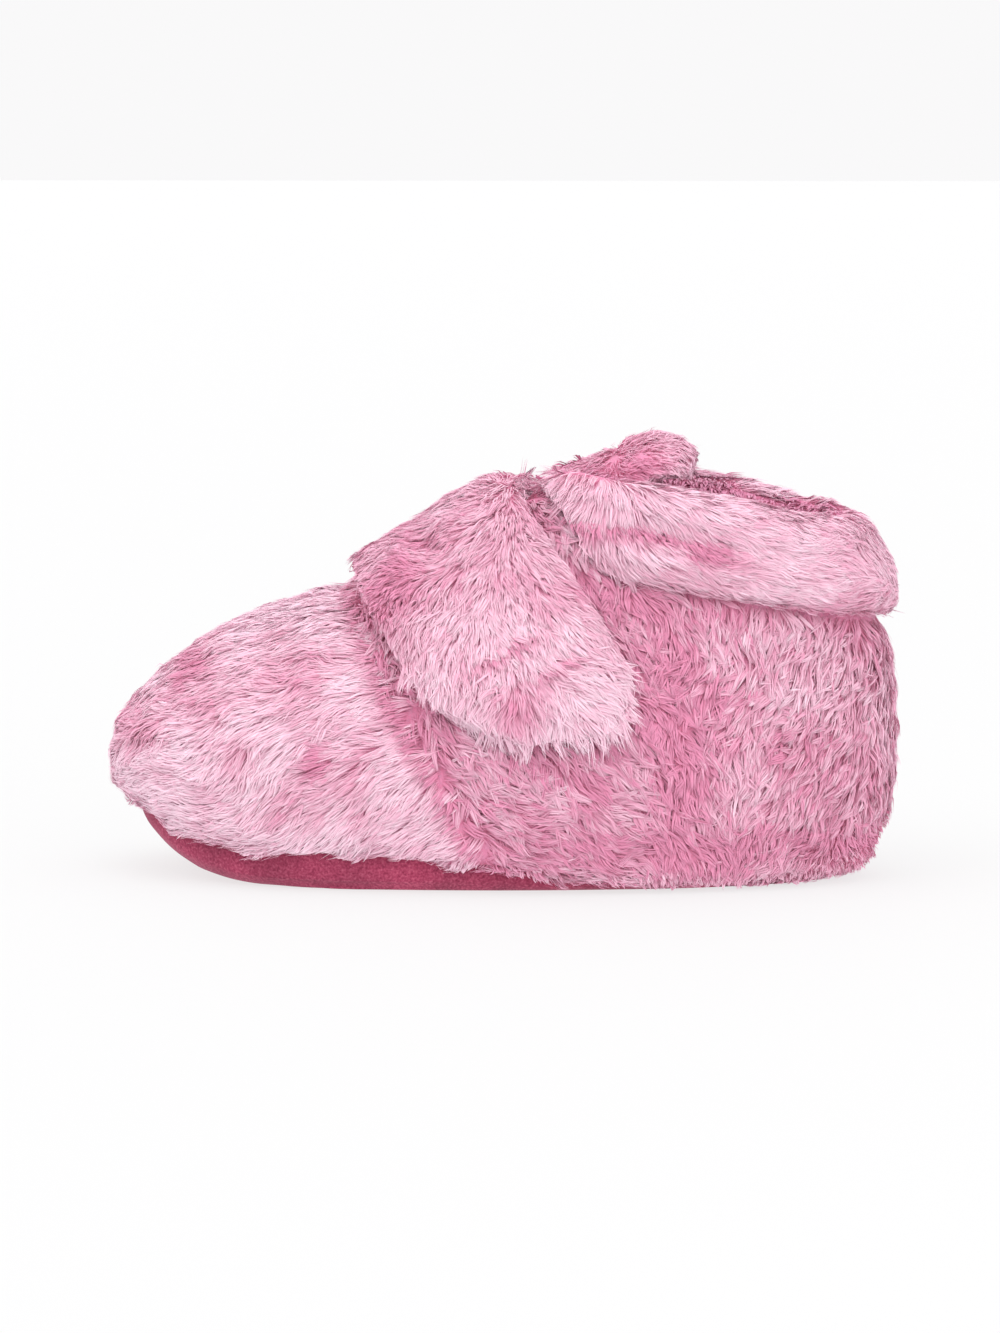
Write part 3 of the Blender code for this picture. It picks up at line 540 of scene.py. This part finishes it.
# rows of (along, height, half length, half width, turn, depth): deep patches of standing pile.
# The two long thin rows at heights 47 and 47.5, along the cuff's lower edge, are painted shadow
# under the cuff.
UPPER_PATCHES = (
    (47, 34.5, 4.5, 2.5, -35, 0.80), (58, 26, 5, 3, -40, 0.75), (40, 29.5, 5, 2.0, -20, 0.50),
    (27, 36, 7, 2.5, -15, 0.50), (30, 14, 4, 2.2, -60, 0.45), (37, 24, 3, 1.6, -70, 0.55),
    (24, 22, 3, 6, 20, 0.55), (-29, 38, 6, 3.5, -120, 0.65), (-28, 29, 5, 5, 0, 0.75),
    (-30, 21, 5, 6, 0, 0.60), (-37, 32, 4, 2.5, -60, 0.55), (-32, 8, 17, 3.5, 0, 0.65),
    (-55, 8, 8, 3, 10, 0.60), (-12, 42, 7, 3, -130, 0.40), (-45, 47, 20, 2.0, 8, 0.45),
    (-12, 20, 8, 2, -155, 0.30), (-20, 47.5, 12, 1.8, 18, 0.55), (-8, 33, 3, 8, 35, 0.35),
    (52, 27, 7, 3.5, -30, 0.50), (17, 24, 2.5, 9, 38, 0.35),
)
# rows of (along, height, half length, half width, turn, depth): pale patches of the vamp; the
# first, on the vamp's top, is a painted highlight where the top faces the light
UPPER_PALE = (
    (36, 43, 9, 3.5, -20, 0.25), (30, 9, 20, 3, 0, 0.22), (50, 13, 7, 3, 35, 0.22),
    (44, 20, 4, 4, 0, 0.15),
)


def seam_line(height):
    """How far along the shoe the front edge of the quarter lies at a height: a straight slant."""
    share = (height - SEAM_FOOT[1]) / (SEAM_TOP[1] - SEAM_FOOT[1])
    return SEAM_FOOT[0] + share * (SEAM_TOP[0] - SEAM_FOOT[0])


def patched(points, patches):
    """How deep the tone is at each point: each patch is a bell of its two half sizes, turned."""
    depth = np.zeros(len(points))
    for along, height, long_half, short_half, turn, strength in patches:
        dx, dz = points[:, 0] / MM - along, points[:, 2] / MM - height
        c, d = math.cos(math.radians(turn)), math.sin(math.radians(turn))
        bell = ((dx * c + dz * d) / long_half) ** 2 + ((dz * c - dx * d) / short_half) ** 2
        depth = np.maximum(depth, strength * np.exp(-bell))
    return depth


def outside(p, n):
    """Faces that look away from the middle line of the foot."""
    along = np.clip(p[:, 0], -40 * MM, 35 * MM)
    heart = np.stack([along, 0 * along, np.full(len(p), 24 * MM)], axis=1)
    return ((p - heart) * n).sum(axis=1) > 0


def behind_seam(p):
    """True on the quarters, False on the vamp."""
    return p[:, 0] < seam_line(p[:, 2])


def seam_crease(p):
    """1 in the crease before the quarter's front edge, dying away to both sides. The tone takes
    painted shade from it, and the pile is shorter there.
    """
    return np.exp(-(((p[:, 0] - seam_line(p[:, 2]) - 0.8 * MM) / SEAM_SHADE) ** 2))


def upper_tone(p, quarter):
    """Pale pile with clouds of two sizes, deeper on the quarters, less the deep patches, which are
    mottled, and painted shade in the seam's crease, plus pale patches, the first of them a painted
    highlight on the vamp's top."""
    clouds = clouded(p, 0.80, (8, 21, 0.55), (3, 22, 0.45))
    # the deep patches take in painted shadow under the cuff's edge
    deep = patched(p, UPPER_PATCHES)
    mottle = 1.3 * deep * (lattice_noise(p, 1.5 * MM, 23) - 0.5)
    # the first pale patch is a painted highlight on the vamp's top
    pale = patched(p, UPPER_PALE) * (1 - quarter)
    # painted shade darkens the seam's crease
    return clouds + mottle - deep - 0.43 * quarter - 0.85 * seam_crease(p) + pale


def on_vamp(p, n):
    """Faces in front of the seam."""
    return outside(p, n) & ~behind_seam(p)


def on_outer_quarter(p, n):
    """Faces behind the seam on the strap's free side."""
    return outside(p, n) & behind_seam(p) & (p[:, 1] > 0)


def on_inner_quarter(p, n):
    """Faces behind the seam on the side that the strap is sewn to."""
    return outside(p, n) & behind_seam(p) & (p[:, 1] <= 0)


def in_lining(p, n):
    """Faces of the wall's inner side, as far forward as the collar lets them be seen."""
    return ~outside(p, n) & (p[:, 0] < LINING_END)


plush_pile = pile_material("plush_pile", PILE_COLOURS)
fleece_body("upper", "fleece_upper", backing)
over_upper = tree_of("cuff", "strap", "tongue", "outsole")
# the last value is 1 for a quarter, whose locks are coarser and curlier than the vamp's
sections = (
    ("vamp_pile", VAMP_STRANDS, 31, on_vamp, VAMP_STROKES, 0),
    ("outer_quarter_pile", OUTER_STRANDS, 32, on_outer_quarter, QUARTER_STROKES, 1),
    ("inner_quarter_pile", INNER_STRANDS, 33, on_inner_quarter, QUARTER_STROKES, 1),
)
hem_along, hem_height = np.array(HEM_LINE).T * MM
for name, count, seed, wanted, strokes, quarter in sections:
    roots, normals = plant("upper", count, seed, wanted, over_upper)
    deep = patched(roots, UPPER_PATCHES)
    curl = 28 + 14 * quarter + 80 * deep
    headings = ruffled(combed(roots, normals, strokes), roots, normals, curl, seed + 20)
    grow(name, "upper", roots, normals, headings, upper_tone(roots, quarter), plush_pile,
         seed + 10, length=PILE_LENGTH - 1.6 * MM * (deep + seam_crease(roots)), width=PILE_WIDTH,
         lift=PILE_LIFT + 0.15 * MM * quarter, lock=(0.65 + 0.3 * quarter) * MM,
         pull=0.55 + 0.2 * quarter, veer=9.0 + 11.0 * quarter, streak=0.09 + 0.08 * quarter,
         hem=np.interp(roots[:, 0], hem_along, hem_height))

roots, normals = plant("upper", LINING_STRANDS, 51, in_lining, over_upper)
grow("lining_pile", "upper", roots, normals, aimed((0.3, 0, -1), normals),
     clouded(roots, 0.5, (6, 6, 0.4)), lining_pile, 52, length=2.6 * MM, width=LINING_WIDTH,
     lift=1.2 * MM, veer=30.0, lock=LINING_LOCK)

# ---------------------------------------------------------------- tongue
# A padded tongue of the same fleece, sewn under the vamp, its top puffed up and leaning back.

TONGUE_STROKES = ((10, 55, 10), (-5, 60, 20), (-15, 66, 0), (-22, 68, -150), (-28, 62, -100))
TONGUE_PATCHES = ((-20, 66, 7, 3.4, -15, 0.9), (-14, 61.5, 5, 2, 0, 0.5))

TONGUE_STRANDS, TONGUE_FOOT = 24000, 44 * MM

tongue_pile = pile_material("tongue_pile", PILE_COLOURS)
tongue = fleece_body("tongue", "padded_tongue", backing)
roots, normals = plant("tongue", TONGUE_STRANDS, 61, lambda p, n: p[:, 2] > TONGUE_FOOT,
                       tree_of("cuff", "strap", "upper"))
tone = clouded(roots, 0.72, (4, 62, 0.25)) - patched(roots, TONGUE_PATCHES)
headings = ruffled(combed(roots, normals, TONGUE_STROKES), roots, normals, 50.0, 64)
grow("tongue_pile", "tongue", roots, normals, headings, tone, tongue_pile, 63,
     length=3.2 * MM, width=0.21 * MM, lift=0.85 * MM, veer=18.0)

# ---------------------------------------------------------------- cuff
# The collar, turned down outwards from one side of the throat round the heel to the other, and
# sewn to the upper's edge. Its pile lies back along it, with deep folds in front, where painted
# shade darkens the roll's crease, and a short, deeper pile where the roll looks into the opening.

CUFF_STRANDS, CUFF_LINING_STRANDS = 60000, 12000
CUFF_COVER = 1.0 * MM
CUFF_STROKES = (
    (-9, 61, -35), (-9, 57, -50), (-14, 61, -60), (-19, 61, -90), (-24, 61, -125), (-29, 61, -150),
    (-17, 58.5, -80), (-11, 53, -120),
    (-19, 51.5, -135), (-26, 50, -140), (-32, 53, -150), (-39, 48.5, -155), (-48, 50, -165),
    (-58, 51.5, -172), (-32, 46.5, -140), (-45, 45, -155), (-35, 61, -170), (-42, 60, -175),
    (-58, 56, -178),
)
# rows of (along, height, half length, half width, turn, depth); the first three run along the
# roll's crease and are painted shade there
CUFF_PATCHES = (
    (-13, 58.8, 8, 1.1, 3, 1.1), (-24, 57.6, 7, 1.3, 10, 1.1), (-33, 54.6, 6, 1.6, 25, 0.9),
    (-10, 53, 4, 2.5, -40, 0.60), (-50, 44, 8, 1.5, -8, 0.40),
)


def inward(p, n):
    """Faces of the roll that look into the opening: their normals point to the middle in plan."""
    heart = np.stack([np.clip(p[:, 0], -38 * MM, -10 * MM), 0 * p[:, 1]], axis=1)
    return (unit(p[:, :2] - heart) * n[:, :2]).sum(axis=1) < -0.25


cuff_pile = pile_material("cuff_pile", PILE_COLOURS)
cuff = fleece_body("cuff", "turned_down_cuff", backing)
over_cuff = tree_of("strap", "tongue", "upper")
roots, normals = plant("cuff", CUFF_STRANDS, 71, lambda p, n: ~inward(p, n), over_cuff, CUFF_COVER)
deep = patched(roots, CUFF_PATCHES)
# painted shade in the roll's crease comes off the tone with the other deep patches
tone = clouded(roots, 0.67, (8, 72, 0.4), (3, 73, 0.35)) - deep
front_end = np.clip((roots[:, 0] + 18 * MM) / (10 * MM), 0, 1)
headings = ruffled(combed(roots, normals, CUFF_STROKES), roots, normals, 26 + 40 * deep, 78)
grow("cuff_pile", "cuff", roots, normals, headings, tone, cuff_pile, 74,
     length=PILE_LENGTH + (1.2 * front_end - 1.8 * np.minimum(deep, 1)) * MM, width=PILE_WIDTH,
     lift=PILE_LIFT)
roots, normals = plant("cuff", CUFF_LINING_STRANDS, 75, inward, over_cuff, CUFF_COVER)
grow("cuff_lining_pile", "cuff", roots, normals, aimed((0.1, 0, -1), normals),
     clouded(roots, 0.6, (5, 76, 0.3)), lining_pile, 77, length=2.4 * MM, width=0.30 * MM,
     lift=1.0 * MM, veer=22.0)

# ---------------------------------------------------------------- strap
# A wide padded band over the instep, sewn to the inner quarter and closed on the outer side with
# hidden hook-and-loop pads. Its pile runs down the band and fans out in white tufts at its end.

STRAP_STRANDS = 58000
STRAP_LENGTH = 4.0 * MM
# the band's middle line, which leans forward from the upright through one point
STRAP_TILT = np.radians(36.0)
STRAP_X, STRAP_Z = -7.2 * MM, 33.7 * MM
# the height above which the band's two edges lie free
STRAP_FREE = 42 * MM
STRAP_STROKES = (
    (14, 58, -25), (8, 61, -20), (2, 61, -25), (20, 52, -50), (10, 52, -30), (3, 57, -45),
    (15, 45, -95), (-4, 60, -95), (-8, 55, -125), (-12, 50, -135), (-1, 58, -70),
    (11, 38, -100), (5, 46, -60), (-4, 51, -110), (-12, 45, -135), (-4, 42, -118), (7, 31, -100),
    (-2, 32, -80), (-10, 34, -120), (-17, 38, -140), (1, 25, -70), (-6, 23, -90), (-14, 26, -125),
    (-20, 32, -150),
)
STRAP_PATCHES = (
    (14, 48, 6, 3.2, -40, 0.90), (10, 55, 5, 2, -20, 0.50), (-5, 31, 5, 3.5, -70, 0.60),
    (-3, 39.5, 6, 1.0, -30, 0.8), (-11, 37, 4, 0.9, -20, 0.7),
)

strap_pile = pile_material("strap_pile", PILE_COLOURS)
strap = fleece_body("strap", "padded_strap", backing)
roots, normals = plant("strap", STRAP_STRANDS, 81, outside,
                       tree_of("cuff", "tongue", "upper"), 1.0 * MM)
rise = roots[:, 2] - STRAP_Z
across = np.cos(STRAP_TILT) * (roots[:, 0] - STRAP_X) - np.sin(STRAP_TILT) * rise
free = roots[:, 2] > STRAP_FREE
near_end = np.clip((36 * MM - roots[:, 2]) / (8 * MM), 0, 1)
front_edge = np.clip((across - 9 * MM) / (4 * MM), 0, 1) * free
rear_edge = np.clip((-across - 9 * MM) / (4 * MM), 0, 1) * free
deep = patched(roots, STRAP_PATCHES) + 0.2 * np.clip((roots[:, 2] - 44 * MM) / (6 * MM), 0, 1)
tone = clouded(roots, 0.64, (7, 82, 0.45), (3, 83, 0.4)) - deep + 0.35 * near_end
headings = ruffled(combed(roots, normals, STRAP_STROKES), roots, normals, 30 + 50 * deep, 85)
# over the instep the pile at the rear edge lies back, off the band
over_edge = np.clip((-across - 11.5 * MM) / (1.5 * MM), 0, 1) * (np.abs(roots[:, 1]) < 12 * MM)
headings = unit(headings + (aimed((-1, 0, 0.1), normals) - headings) * over_edge[:, None])
longer = 1.6 * near_end + 0.6 * rear_edge - 1.6 * front_edge - 1.4 * deep
grow("strap_pile", "strap", roots, normals, headings, tone, strap_pile, 84,
     length=STRAP_LENGTH + longer * MM, width=PILE_WIDTH, lift=1.0 * MM, veer=16.0)

# ---------------------------------------------------------------- floor, light and camera
# A plain pale floor, soft light from every side with a broad lamp above the toe, and a long lens
# on the outer side of the shoe, a little behind its middle and above it.

FLOOR_HALF, FLOOR_DROP = 12.0, 0.05 * MM
FLOOR_GREY, FLOOR_GLOW = (0.17, 0.17, 0.171, 1), 0.73
SKY_COLOUR, SKY_STRENGTH = (1, 0.995, 1, 1), 0.95
SUN_STRENGTH, SUN_SPREAD = 1.15, 70
CAMERA_AZIMUTH, CAMERA_ELEVATION, CAMERA_AWAY = 185.0, 5.5, 0.9
# the photograph's width in pixels, and a pixel's size on the shoe
PHOTO_WIDTH, PIXEL = 1000, 0.1612 * MM
# the picture's middle is at this height on the shoe's side, so far in front of its middle plane
LOOK_HEIGHT, NEAR_SIDE = 34.8 * MM, 20 * MM
SENSOR = 36.0

floor_mesh = bpy.data.meshes.new("floor")
corners = [(FLOOR_HALF * x, FLOOR_HALF * y, 0) for x, y in ((-1, -1), (1, -1), (1, 1), (-1, 1))]
floor_mesh.from_pydata(corners, [], [(0, 1, 2, 3)])
floor = bpy.data.objects.new("floor", floor_mesh)
floor.location.z = -FLOOR_DROP
bpy.context.scene.collection.objects.link(floor)
paper, nodes, links, shader = new_material("pale_floor", 0.9, 0.0, (1, 1, 1))
shader.inputs["Base Color"].default_value = FLOOR_GREY
shader.inputs["Emission Color"].default_value = (1, 1, 1, 1)
shader.inputs["Emission Strength"].default_value = FLOOR_GLOW
floor_mesh.materials.append(paper)

bpy.context.scene.view_settings.view_transform = "Standard"
world = bpy.data.worlds.new("studio")
world.use_nodes = True
sky = world.node_tree.nodes["Background"]
sky.inputs["Color"].default_value = SKY_COLOUR
sky.inputs["Strength"].default_value = SKY_STRENGTH
bpy.context.scene.world = world


def lamp(name, place, target, size, power, tint):
    """A square soft lamp that faces its target."""
    data = bpy.data.lights.new(name, "AREA")
    data.size, data.energy, data.color = size, power, tint
    piece = bpy.data.objects.new(name, data)
    bpy.context.scene.collection.objects.link(piece)
    piece.location = place
    piece.rotation_euler = (Vector(target) - Vector(place)).to_track_quat("-Z", "Y").to_euler()


lamp("fill_lamp", (-0.5, 0.9, 0.30), (0, 0, 0.03), 0.7, 3.0, (1, 1, 1))
sun = bpy.data.objects.new("soft_sky", bpy.data.lights.new("soft_sky", "SUN"))
sun.data.energy, sun.data.angle = SUN_STRENGTH, math.radians(SUN_SPREAD)
sun.rotation_euler = Vector((-0.25, -0.45, -1.0)).to_track_quat("-Z", "Y").to_euler()
bpy.context.scene.collection.objects.link(sun)

turn, tilt = math.radians(CAMERA_AZIMUTH), math.radians(CAMERA_ELEVATION)
look = Vector((-math.sin(turn) * math.cos(tilt), math.cos(turn) * math.cos(tilt), -math.sin(tilt)))
above = (Vector((0, 0, 1)) - look * look.z).normalized()
camera = bpy.data.objects.new("camera", bpy.data.cameras.new("camera"))
camera.data.sensor_fit = "HORIZONTAL"
camera.data.sensor_width = SENSOR
camera.data.lens = SENSOR * CAMERA_AWAY / (PHOTO_WIDTH * PIXEL)
camera.data.clip_end = 50.0
camera.location = above * (LOOK_HEIGHT - NEAR_SIDE * math.sin(tilt)) - look * CAMERA_AWAY
camera.rotation_euler = look.to_track_quat("-Z", "Y").to_euler()
bpy.context.scene.collection.objects.link(camera)
bpy.context.scene.camera = camera
